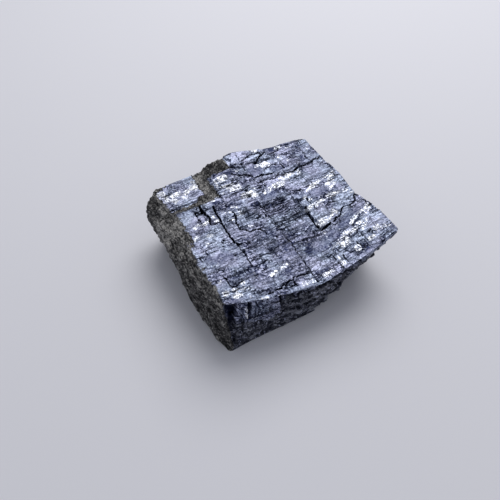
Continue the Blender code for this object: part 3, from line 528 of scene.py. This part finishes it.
def layPlates(x, y, u, v):
    # height of the top, with its sag, its trough and its cleavage plates
    height = stone["top"] - at(stone["frontSag"], x) * ease(-y, *stone["sagReach"])
    height -= stone["troughDepth"] * np.exp(-(nearPath(x, y, stone["trough"]) / stone["troughWidth"]) ** 2)
    flat = np.stack([u, v, np.zeros_like(u)], 1)
    jogU, jogV = jog(u, flat, "jogX"), jog(v, flat, "jogY")
    for xFrom, xTo, yFrom, yTo, rise, slopeX, slopeY in plates:
        inside = (jogU > xFrom) & (jogU < xTo) & (jogV > yFrom) & (jogV < yTo)
        height += inside * (relief["plateRise"] * rise + slopeX * (u - (xFrom + xTo) / 2)
                            + slopeY * (v - (yFrom + yTo) / 2))
    return height


def shapeTop(x, y, u, v, fringe, zones):
    # height of the top, with how bright each point is painted, and the painted shade of its cracks, seams
    # and narrow pits
    r, points = relief, np.stack([x, y, np.zeros_like(x)], 1)
    height, crack = layPlates(x, y, u, v), np.zeros_like(x)
    for pitX, pitY, radius, depth in pits:
        hollow = np.exp(-((x - pitX) ** 2 + (y - pitY) ** 2) / radius ** 2)
        height -= depth * hollow
        # a narrow pit gets painted shade
        crack = np.maximum(crack, hollow * (radius < r["shadedPitRadius"]))

    rough, flatter = 1 - r["smoothing"] * zones["smooth"], 1 - r["glintFlat"] * zones["paintedGlint"]
    steps, tone = terraces(u, v, r["terraces"], r["seed"])
    height += rough * flatter * steps
    tone = zones["tone"] + tone * (0.4 + 0.6 * rough)

    # glittering facets: each small cleavage cell tips its own way
    sizeU, sizeV = r["facetSize"]
    cellU, cellV = np.floor(u / sizeU), np.floor(v / sizeV)
    key = np.stack([cellU + 0.5, cellV + 0.5, np.zeros_like(u)], 1)
    tipU, tipV, lift = (cells(key, 1, seed) for seed in (40, 80, 120))
    local = tipU * (u - (cellU + 0.5) * sizeU) + tipV * (v - (cellV + 0.5) * sizeV)
    glitter = np.maximum(zones["paintedGlint"], r["facetShare"] * rough)
    height += glitter * (r["facetTilt"] * local + r["facetLift"] * lift)

    # overlapping sheets whose front edges wave
    phase = ((v + swell(points, "wave")) / r["lamellaPitch"]) % 1
    sheets = zones["sheets"] * rough
    height += r["lamellaRise"] * sheets * (0.5 - phase)

    strength, share, size, seed = r["net"]
    fine = [strength * (lines(points, size, seed, share * r["seamWidth"]) * sheets)]
    for strength, share, size, seed, *where, start, end in r["seams"]:
        run = lines(points, size, seed, share * r["seamWidth"]) * ease(lumps(points, *where), start, end)
        fine.append(strength * run)
    fine = np.maximum.reduce(fine) * rough * flatter
    height -= r["seamDepth"] * fine
    # the fine seams get painted shade
    crack = np.maximum(crack, r["seamDark"] * fine)

    jagX = jog(r["crackJag"] * fringe, points, "jagX")
    jagY = jog(r["crackJag"] * fringe, points, "jagY")
    cut, cutFloor, cutRim = r["crackCut"]
    for width, depth, path in cracks:
        near = nearPath(x + jagX, y + jagY, path)
        height -= cut * depth * (1 - ease(near, width * cutFloor, width * cutRim))
        half = 0.05 + 0.36 * width * min(1, depth + 0.35)  # a shallow crack is drawn thinner
        # each crack is painted dark as well as cut: painted shade in the crack
        crack = np.maximum(crack, np.clip(0.5 + (half - near) / r["crackFade"], 0, 1))
    crumbs = swell(points, "crumbs")
    height += zones["crust"] * crumbs + swell(points, "roll")
    # the crumbs of crust get painted light where they rise and painted shade where they sink
    return height, tone + zones["crust"] * r["crumbShading"] * crumbs, crack


def topZones(x, y, u, v, fringe):
    # where each finish lies on the top
    zones = {name: np.zeros_like(x) for name in ("paintedGlint", "smooth", "sheets", "tone")}
    zones["crust"] = crustOnTop(x, y, u, v, fringe)
    # where each glint's painted highlight lies
    for spot in paintedGlints:
        zones["paintedGlint"] = np.maximum(zones["paintedGlint"], spot[5] * patch(x, y, spot, fringe - 0.12))
    for face in faces:
        share = patch(x, y, face, 0.7 * fringe)
        zones["smooth"] = np.maximum(zones["smooth"], face[5] * share)
        zones["sheets"] = np.maximum(zones["sheets"], -face[5] * share)
        # each face's tone, partly painted reflection, laid over those beneath it
        zones["tone"] = zones["tone"] * (1 - share) + face[6] * share
    zones["paintedGlint"] *= 1 - zones["crust"]
    points = np.stack([x, y, np.zeros_like(x)], 1)
    calm = relief["calm"] * ease(swell(points, "calm"), -0.25, 0.2) * (1 - zones["sheets"])
    zones["smooth"] = np.maximum(zones["smooth"], calm)
    return zones


def sideZones(points, ragged, u, v, depth):
    # where each finish lies on the sides
    f, b = frontFace, backCrust
    x, z = points[:, 0], points[:, 2]
    side = depth > 0
    onLeft, onRight, onFront, onBack = sidesOf(u, v)
    lapX = f["crustEdge"] - f["crustSlant"] * z
    lap = onFront * (1 - ease(x + ragged, lapX - f["lapFade"], lapX + f["lapFade"]))
    loose = ragged + swell(points, "loose")
    backLap = onBack * (1 - ease(x + 2 * loose, *b["lap"]))
    gully = onBack * (1 - ease(np.abs(x - b["gullyX"]) + 1.6 * loose, *b["gullyReach"]))
    gully = gully * ease(z + 1.5 * loose, *b["gullyFoot"])
    crusted = side * np.maximum.reduce([np.where(onLeft, 1, 0), lap, backLap, gully])
    frontal = side * onFront * (1 - crusted)
    flush = at(f["flushLow"], x)
    broken = frontal * (1 - ease(z + 0.6 * ragged, flush - f["flushFade"], flush + f["flushFade"]))
    hidden = side * (onBack | onRight) * (1 - crusted)
    return crusted, frontal, broken, hidden


def shapeSides(points, normals, u, v, depth):
    # swollen crust at the left, striated and broken rock in front, cleavage steps behind
    f, r = frontFace, relief
    x, y, z = points.T
    side = depth > 0
    onLeft, onRight, onFront, onBack = sidesOf(u, v)
    ragged = swell(points, "ragged")
    crusted, frontal, broken, hidden = sideZones(points, ragged, u, v, depth)
    clean = frontal * (1 - broken)

    # how far each point is pushed out: crust, rubble in layers, and striae and marks on the clean front
    fade = ease(z, 0, 1) * ease(depth, 0, 1)
    grainFade = ease(z, 0, 0.5) * ease(depth, 0, 0.3)
    strands = swell(points, "strands")
    push = crusted * fade * swell(points, "bulges")
    push += crusted * grainFade * strands
    layer = ((z + f["layerDip"] * x + swell(points, "layers")) / f["layerPitch"]) % 1
    rubble = swell(points, "rubble") + f["layerRise"] * (layer - 0.5)
    push += broken * grainFade * rubble
    stria = np.abs((x / f["striaPitch"] + swell(points, "stria")) % 1 - 0.5)
    push += clean * ease(depth, 0.1, 0.5) * f["striaRise"] * (stria - 0.25) * 2
    markDepth, markShadeAndHighlight = frontMarks(x + swell(points, "markX"), z + swell(points, "markZ"))
    push -= frontal * ease(depth, 0, 0.4) * markDepth

    # small cleavage steps, with the back and the right side laid further along
    around = np.where(onBack, x + 100, np.where(onRight, y + 200, x))
    steps, stepTone = np.zeros_like(x), np.zeros_like(x)
    for face in (onBack & side, onRight & side, onFront & side):
        steps[face], stepTone[face] = terraces(around[face], z[face], r["sideTerraces"], r["seed"] + 5)
    share = depth / stone["top"]
    smooth = ease(sideBlocks(onBack, u, v, share, 7) + 0.25 * ragged, 0, 0.25)
    smooth = hidden * r["smoothBlocks"] * smooth
    stepTone = stepTone + hidden * r["blockTone"] * sideBlocks(onBack, u, v, share, 3)
    push += (hidden * (1 - 0.8 * smooth) + 0.35 * clean) * fade * steps
    push[np.abs(normals[:, 2]) > 0.97] = 0  # flat ground stays where it is
    moved = points + normals * push[:, None]
    moved[:, 2] = np.where(depth >= stone["top"], 0, np.maximum(moved[:, 2], 0))

    # how bright each point is painted: painted light on the crust's raised strands and painted shade
    # between them; the crust is a little darker low down and paler near its top edge
    paintedShadeAndTone = crusted * (0.65 * strands - 0.08 * (1 - ease(z, 2, 14)) + 0.25 * ease(z, 10, 16))
    # darker towards the back of the left side; painted light on the lumps of broken rock and painted shade
    # between them
    paintedShadeAndTone = paintedShadeAndTone - 0.2 * crusted * onLeft * ease(y, 13, 17) + broken * 0.55 * rubble
    # painted light on the crust's upper shoulder, part way along the left side
    paintedShadeAndTone = paintedShadeAndTone + 0.55 * crusted * onLeft * ease(z, 10, 15) * band(y, 3, 8, 15, 18)
    # the front's hollows, slots and the line under its lip get painted shade, and its ribs a painted
    # highlight
    markShade, ribHighlight = frontal * np.clip(markShadeAndHighlight, 0, 1), frontal * np.clip(-markShadeAndHighlight, 0, 1)
    # painted shade in the front's hollows, and the broken rock darker near the foot
    paintedShadeAndTone = paintedShadeAndTone - 0.6 * markShade - 0.4 * broken * (1 - ease(z, 0.3, 3.5))
    # painted glints: a painted highlight on the front's ribs and in patches on the hidden sides
    paintedSparks = hidden * 0.8 * ease(ragged + swell(moved, "sidePaintedGlint"), 0.45, 0.9)
    finish = {"crust": crusted, "broken": broken, "paintedGlint": ribHighlight + paintedSparks, "crack": 0.55 * markShade,
              "tone": paintedShadeAndTone + (1 - crusted - broken) * (stepTone - 0.13), "smoothness": smooth,
              "sheets": 0.8 * broken}
    return moved, finish


def blankStone():
    # a flat grid for the top, whose rim is drawn down in rings to the foot and closed there
    s = stone
    bpy.ops.mesh.primitive_grid_add(x_subdivisions=s["cellsX"], y_subdivisions=s["cellsY"], size=1)
    block = bpy.context.object
    block.name = "galenaStone"
    block.data.name = "galenaStone"
    block.scale = (s["right"] - s["left"], s["back"] - s["front"], 1)
    block.location = ((s["left"] + s["right"]) / 2, (s["front"] + s["back"]) / 2, 0)
    bpy.ops.object.transform_apply(location=True, rotation=True, scale=True)
    bpy.ops.object.mode_set(mode="EDIT")
    bpy.ops.mesh.select_mode(type="EDGE")
    bpy.ops.mesh.select_all(action="DESELECT")
    bpy.ops.mesh.select_non_manifold(extend=False, use_boundary=True)
    for _ in range(s["rings"]):
        bpy.ops.mesh.extrude_region_move(TRANSFORM_OT_translate={"value": (0, 0, -1)})
    bpy.ops.mesh.edge_face_add()
    bpy.ops.mesh.select_all(action="SELECT")
    bpy.ops.mesh.normals_make_consistent(inside=False)
    bpy.ops.object.mode_set(mode="OBJECT")
    print("stone grid:", len(block.data.vertices), "points")
    return block


def readPoints(mesh, name):
    flat = np.empty(len(mesh.vertices) * 3)
    mesh.vertices.foreach_get(name, flat)
    return flat.reshape(-1, 3)


def makeStone():
    block = blankStone()
    mesh = block.data
    u, v, ring = readPoints(mesh, "co").T
    depth = stone["top"] * (np.round(-ring) / stone["rings"]) ** stone["ringPower"]

    x0, y0 = planOf(u, v, np.zeros_like(u))
    fringe = swell(np.stack([x0, y0, np.zeros_like(x0)], 1), "fringe")
    zones = topZones(x0, y0, u, v, fringe)
    height, tone, crack = shapeTop(x0, y0, u, v, fringe, zones)
    x, y = planOf(u, v, depth)
    points = np.stack([x, y, height * (1 - depth / stone["top"])], 1)
    print("stone top shaped")

    mesh.vertices.foreach_set("co", points.ravel())
    mesh.update()
    points, sideFinish = shapeSides(points, readPoints(mesh, "normal"), u, v, depth)
    print("stone sides shaped")

    side = depth > 0
    topFinish = {"crust": zones["crust"], "broken": 0, "paintedGlint": zones["paintedGlint"], "crack": crack,
                 "tone": tone, "smoothness": zones["smooth"], "sheets": zones["sheets"]}
    for name, onTop in topFinish.items():
        layer = mesh.attributes.new(name, "FLOAT", "POINT")
        layer.data.foreach_set("value", np.where(side, sideFinish[name], onTop).astype(np.float32))

    # where the cleavage pattern lies: along and across each face, and a step on from face to face
    onLeft, onRight, onFront, onBack = sidesOf(u, v)
    along = np.where(side & (onLeft | onRight), points[:, 1], points[:, 0])
    across = np.where(side, points[:, 2], points[:, 1])
    face = np.select([~side, onFront, onBack, onLeft], [0, 60, 120, 180], 240)
    layer = mesh.attributes.new("surface", "FLOAT_VECTOR", "POINT")
    layer.data.foreach_set("vector", (np.stack([along, across, face], 1) * mm).ravel().astype(np.float32))

    points -= (*centre, 0)
    mesh.vertices.foreach_set("co", (points * mm).ravel())
    mesh.update()
    return block


def linear(code):
    # sRGB hex to linear colour
    parts = [int(code[i:i + 2], 16) / 255 for i in (1, 3, 5)]
    return tuple(p / 12.92 if p <= 0.04045 else ((p + 0.055) / 1.055) ** 2.4 for p in parts) + (1,)


def addNode(tree, kind, inputs=(), operation=None, **settings):
    # one shader node with its settings; its inputs are given by name, or in their order on the node.
    # A value is set, and a socket or another node's first output is linked.
    node = tree.nodes.new("ShaderNode" + kind)
    if operation:
        node.operation = operation
    for name, value in settings.items():
        setattr(node, name, value)
    if isinstance(inputs, dict):
        pairs = [(node.inputs[name], value) for name, value in inputs.items()]
    else:
        pairs = zip([socket for socket in node.inputs if socket.enabled], inputs)
    for socket, value in pairs:
        if isinstance(value, bpy.types.Node):
            value = next(output for output in value.outputs if output.enabled)
        if isinstance(value, bpy.types.NodeSocket):
            tree.links.new(value, socket)
        else:
            socket.default_value = value
    return node


# Natural galena: lead-grey metallic cleavage, bluish where clean, with a dull granular crust at the left.
# Scales are per metre.
galenaLook = {
    # paintedGlint is the colour of the painted highlight; crack is the colour of the painted shade in
    # cracks, seams and hollows, and of the darkest broken rock
    "bright": "#B7BAD4", "pale": "#B2BCD2", "dark": "#373D59", "paintedGlint": "#EEF1FA", "crack": "#0B1024",
    "crust": "#706E6E", "crustDark": "#0E0D10", "crustPale": "#CFCCC8", "broken": "#868893",
    "roughness": 0.5, "glintRoughness": 0.28, "crustRoughness": 0.9,
    "bend": 0.0021, "bendScale": 300,  # cleavage lines wander 1 mm over about 3 mm
    "drawn": (0.5, 1.3, 1), "mottleScale": 520,  # drawn out along x, 4 mm by 1.5 mm
    "blocks": ((9, 2.7, 0.2), (3.6, 1.4, 0.18), (2.2, 0.8, 0.14)),  # steps: long, high, open seam, in mm
    "blockShift": 0.37, "blockBreaks": 1600,  # a seam breaks off about once along a block
    "sheetPitch": 0.85,  # wavy sheets, in mm
    "mediumScale": 1150, "fineScale": 2700,  # cleavage cells of 0.9 mm and 0.4 mm
    "cellTone": (0.14, 0.06, 0.6, 0.07),  # spread of mottle, medium cells, fine cells and blocks
    "tarnishScale": 150, "speckScale": 1000,  # tarnish over 7 mm, a speck in some cells of 1 mm
    "layers": (0.3, 1.5, 1), "layerScale": 900,  # layers of broken rock, 4 mm by 0.7 mm
    "strand": (1, 0.5, 0.85), "stainScale": 330,  # the crust's stains, 3 mm by 6 mm
    "grainScale": 3200, "gritScale": 2900,  # its grains and grit, 0.3 mm by 0.6 mm
    "hollow": (1, 0.33, 0.8), "hollowScale": 1100,  # painted shade of its hollows and light on its crests, 0.9 mm by 2.8 mm
    "cellBump": 0.06, "grainBump": 0.3,  # depth in mm
    "baseTone": 0.545,
}


def cleavage(add, look, zone, surface):
    # clean cleavage: its colour, its seams and specks, and the painted highlight of the facets that lie
    # towards the light
    bend = add("TexNoise", (surface, look["bendScale"], 4, 0.6))
    bent = add("VectorMath", (bend.outputs["Color"], (look["bend"],) * 3, surface), "MULTIPLY_ADD")
    drawn = add("Mapping", {"Vector": bent, "Scale": look["drawn"]})
    mottle = add("TexNoise", (drawn, look["mottleScale"], 6, 0.7))
    medium = add("TexVoronoi", (bent, look["mediumScale"]), distance="CHEBYCHEV")
    fine = add("TexVoronoi", (bent, look["fineScale"]), distance="CHEBYCHEV")
    mediumTone = add("SeparateColor", (medium.outputs["Color"],))
    fineTone, fineFlash, fineGap = add("SeparateColor", (fine.outputs["Color"],)).outputs
    busy = add("MapRange", (zone["smoothness"], 0, 1, 1, 0.22))
    even = add("MapRange", (zone["sheets"], 0, 1, 1, 0.55))

    # open seams between the blocks, broken off here and there, painted dark as shade
    mottleReach, mediumReach, fineReach, blockReach = look["cellTone"]
    seam, tones = 0, [(mottle, mottleReach), (mediumTone, mediumReach), (fineTone, fineReach)]
    for length, high, gap in look["blocks"]:
        brick = add("TexBrick", {"Vector": bent, "Scale": 1000, "Brick Width": length, "Row Height": high,
                                 "Mortar Size": gap, "Mortar Smooth": 0.15, "Color1": (0, 0, 0, 1),
                                 "Color2": (1, 1, 1, 1), "Mortar": (0.5, 0.5, 0.5, 1)},
                    offset=look["blockShift"])
        breaks = add("TexNoise", (drawn, look["blockBreaks"] / length, 2))
        whole = add("MapRange", (breaks, 0.5, 0.55))
        opened = add("Math", (brick.outputs["Fac"], whole), "MULTIPLY")
        seam = add("Math", (opened, seam), "MAXIMUM")
        tones.append((brick.outputs["Color"], blockReach))

    # overlapping sheets: painted shade darkens each towards its edge, which ends in a thin line
    bandLength = 0.314  # a wave texture of scale 1 repeats after this
    bands = bandLength / (look["sheetPitch"] * mm * look["drawn"][1])
    sheets = add("TexWave", {"Vector": drawn, "Scale": bands, "Distortion": 6, "Detail": 2.5,
                             "Detail Scale": 0.6, "Detail Roughness": 0.55},
                 bands_direction="Y", wave_profile="SAW")
    edge = add("MapRange", (sheets, 0.12, 0.3, 1, 0))
    edge = add("Math", (edge, zone["sheets"]), "MULTIPLY")
    seam = add("Math", (seam, edge), "MAXIMUM")
    seam = add("Math", (seam, busy), "MULTIPLY")

    # dark gaps between the facets of a painted glint, and dark specks
    gap = add("MapRange", (fineGap, 0.76, 0.84, 0, 0.75))
    gap = add("Math", (gap, zone["paintedGlint"]), "MULTIPLY")
    seam = add("Math", (seam, gap), "MAXIMUM")
    speck = add("TexVoronoi", (surface, look["speckScale"]))
    here = add("SeparateColor", (speck.outputs["Color"],))
    here = add("MapRange", (here, 0.62, 0.64))
    dot = add("MapRange", (speck.outputs["Distance"], 0.1, 0.18, 0.8, 0))
    dot = add("Math", (dot, here), "MULTIPLY")
    seam = add("Math", (seam, dot), "MAXIMUM")

    # brighter and darker by the block and the cell
    tone = 0
    for value, reach in tones:
        swing = add("MapRange", (value, 0, 1, -reach, reach))
        tone = add("Math", (swing, tone), "ADD")
    tone = add("Math", (tone, even), "MULTIPLY")
    tone = add("Math", (tone, busy, look["baseTone"]), "MULTIPLY_ADD")
    tone = add("Math", (tone, zone["tone"]), "ADD")
    # a painted halo of light round each glint
    tone = add("Math", (zone["paintedGlint"], 0.3, tone), "MULTIPLY_ADD")
    tarnish = add("TexNoise", (surface, look["tarnishScale"], 3))
    tarnish = add("MapRange", (tarnish, 0.42, 0.58))
    clean = add("Mix", (tarnish, linear(look["bright"]), linear(look["pale"])), data_type="RGBA")
    body = add("Mix", (tone, linear(look["dark"]), clean), data_type="RGBA", clamp_factor=True)

    # the painted highlight of the facets covers whole cells at a time
    chance = add("Math", (zone["paintedGlint"], 1.35, 0.08), "MULTIPLY_ADD")
    chance = add("Math", (fineFlash, -1.5, chance), "MULTIPLY_ADD")
    paintedSparkle = add("MapRange", (chance, 0, 0.3))
    body = add("Mix", (paintedSparkle, body, linear(look["paintedGlint"])), data_type="RGBA")
    return body, seam, paintedSparkle, fineTone, bent


def brokenRock(add, look, zone, bent, fineTone, body, seam):
    # broken rock, with painted shade in its hollows and small pale chips, and the deep cracks with their
    # painted shade
    chip = add("MapRange", (fineTone, 0.82, 0.9, 0, 0.6))
    layered = add("Mapping", {"Vector": bent, "Scale": look["layers"]})
    layers = add("TexNoise", (layered, look["layerScale"], 5, 0.8))
    tone = add("MapRange", (layers, 0, 1, -3.6, 4.5))
    tone = add("Math", (tone, zone["tone"]), "ADD", use_clamp=True)
    rock = add("Mix", (tone, linear(look["crack"]), linear(look["broken"])), data_type="RGBA")
    rock = add("Mix", (chip, rock, linear(look["bright"])), data_type="RGBA")
    body = add("Mix", (zone["broken"], body, rock), data_type="RGBA")
    deep = add("MapRange", (layers, 0.35, 0.6, 1.1, 0.9))  # ragged edges of the cracks
    deep = add("Math", (deep, zone["crack"]), "MULTIPLY")
    deep = add("MapRange", (deep, 0.41, 0.56))
    seam = add("Math", (seam, 0.95), "MULTIPLY")
    seam = add("Math", (seam, deep), "MAXIMUM")
    # the cracks, seams and hollows take the crack colour: painted shade
    return add("Mix", (seam, body, linear(look["crack"])), data_type="RGBA"), seam


def crust(add, look, zone, coords):
    # crust: grit and stains, with painted light on its crests and painted shade in its gaps, drawn out
    # along the left side
    strand = add("Mapping", {"Vector": coords, "Scale": look["strand"]})
    stain = add("TexNoise", (strand, look["stainScale"], 3))
    grit = add("TexNoise", (strand, look["gritScale"], 6, 0.8))
    grains = add("TexVoronoi", (strand, look["grainScale"]))
    grainTone = add("SeparateColor", (grains.outputs["Color"],))
    hollowShade = add("Mapping", {"Vector": coords, "Scale": look["hollow"]})
    hollowShade = add("TexNoise", (hollowShade, look["hollowScale"], 5, 0.7))
    tone = zone["tone"]
    # painted shade in the hollows and painted light on the crests, then the stains, grit and grains
    for value, start, end, low, high in (
            (hollowShade, 0.33, 0.5, -0.9, 0), (hollowShade, 0.5, 0.7, 0, 0.5), (stain, 0, 1, -0.6, 0.5),
            (grit, 0, 1, -3.1, 3), (grainTone, 0, 1, -0.55, 0.45), (grains, 0, 1, 0.2, -0.4)):
        swing = add("MapRange", (value, start, end, low, high))
        tone = add("Math", (swing, tone), "ADD")
    darkShare = add("MapRange", (tone, 0.1, -0.75))
    paleShare = add("MapRange", (tone, 0.05, 1))
    color = add("Mix", (paleShare, linear(look["crust"]), linear(look["crustPale"])), data_type="RGBA")
    color = add("Mix", (darkShare, color, linear(look["crustDark"])), data_type="RGBA")
    fleck = add("MapRange", (grit, 0, 1, -1.8, 1.8))  # its edge breaks up into flecks
    cover = add("Math", (zone["crust"], 2, fleck), "MULTIPLY_ADD")
    return color, tone, add("MapRange", (cover, 0.85, 1.1))


def makeGalena():
    look = galenaLook
    material = bpy.data.materials.new("galena cleavage and crust")
    material.use_nodes = True
    material.node_tree.nodes.clear()
    add = partial(addNode, material.node_tree)
    zone = {name: add("Attribute", attribute_name=name).outputs["Fac"]
            for name in ("crust", "broken", "paintedGlint", "crack", "tone", "smoothness", "sheets")}
    surface = add("Attribute", attribute_name="surface").outputs["Vector"]
    coords = add("TexCoord").outputs["Object"]
    body, seam, paintedSparkle, fineTone, bent = cleavage(add, look, zone, surface)
    body, seam = brokenRock(add, look, zone, bent, fineTone, body, seam)
    crustColor, crustTone, crusted = crust(add, look, zone, coords)
    color = add("Mix", (crusted, body, crustColor), data_type="RGBA")

    # dull where it is crusted or broken, and half diffuse under the painted glints, so that their painted
    # highlight shows from every side
    plain = add("Math", (zone["broken"], 0.5), "MULTIPLY")
    plain = add("Math", (plain, crusted), "MAXIMUM")
    glintDiffuse = add("Math", (paintedSparkle, 0.5), "MULTIPLY")
    plain = add("Math", (plain, glintDiffuse), "MAXIMUM")
    metallic = add("Math", (1, plain), "SUBTRACT")
    rough = add("MapRange", (paintedSparkle, 0, 1, look["roughness"], look["glintRoughness"]))
    rough = add("Mix", (crusted, rough, look["crustRoughness"]))

    # seams, cells and crust grains as bump
    cellHeight = add("Math", (seam, -2, fineTone), "MULTIPLY_ADD")
    uneven = add("MapRange", (zone["paintedGlint"], 0, 1, 0.5, 0.1))
    bump = add("Bump", {"Height": cellHeight, "Distance": look["cellBump"] * mm, "Strength": uneven})
    grainHeight = add("Math", (crustTone, crusted), "MULTIPLY")
    bump = add("Bump", {"Height": grainHeight, "Distance": look["grainBump"] * mm, "Strength": 0.8,
                        "Normal": bump})
    shader = add("BsdfPrincipled", {"Base Color": color, "Metallic": metallic, "Roughness": rough,
                                    "Normal": bump})
    add("OutputMaterial", {"Surface": shader})
    return material


block = makeStone()
block.data.materials.append(makeGalena())
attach(block, "root")
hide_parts("galena")
print("stone done:", len(block.data.polygons), "faces")


# The floor, the light and the camera
studio = {
    "floor": "#E4E3E8", "world": "#DCE0EA", "worldStrength": 0.49,
    "key": 1.35, "keyElevation": 55, "keyAzimuth": -44, "keyDistance": 0.47, "keySize": 0.43,
    "eye": (-59.9, -92.75, 121.8), "aim": (-10.8, -7.7, 16.5), "lens": 43.2,
}
bpy.ops.mesh.primitive_plane_add(size=12, location=(0, 0, -0.00005))
floor = bpy.context.object
floor.name = "floor"
paper = bpy.data.materials.new("matte paper")
paper.use_nodes = True
sheen = paper.node_tree.nodes["Principled BSDF"]
sheen.inputs["Base Color"].default_value = linear(studio["floor"])
sheen.inputs["Roughness"].default_value = 0.9
floor.data.materials.append(paper)

world = bpy.data.worlds.new("soft room")
bpy.context.scene.world = world
world.use_nodes = True
world.node_tree.nodes["Background"].inputs["Color"].default_value = linear(studio["world"])
world.node_tree.nodes["Background"].inputs["Strength"].default_value = studio["worldStrength"]

aim = Vector(studio["aim"]) - Vector((*centre, 0))
eye = Vector(studio["eye"]) - Vector((*centre, 0))
turn, rise = math.radians(studio["keyAzimuth"]), math.radians(studio["keyElevation"])
keyWay = Vector((-math.sin(turn) * math.cos(rise), math.cos(turn) * math.cos(rise), math.sin(rise)))
bpy.ops.object.light_add(type="AREA", location=keyWay * studio["keyDistance"])
key = bpy.context.object
key.name = "window light"
key.data.shape = "DISK"
key.data.size = studio["keySize"]
key.data.energy = studio["key"]
key.rotation_euler = keyWay.to_track_quat("Z", "Y").to_euler()

bpy.ops.object.camera_add(location=eye * mm)
camera = bpy.context.object
camera.rotation_euler = (eye - aim).to_track_quat("Z", "Y").to_euler()
camera.data.lens = studio["lens"]
camera.data.sensor_width = 36
camera.data.clip_start = 0.005
bpy.context.scene.camera = camera
bpy.context.scene.view_settings.view_transform = "Standard"
print("studio set")
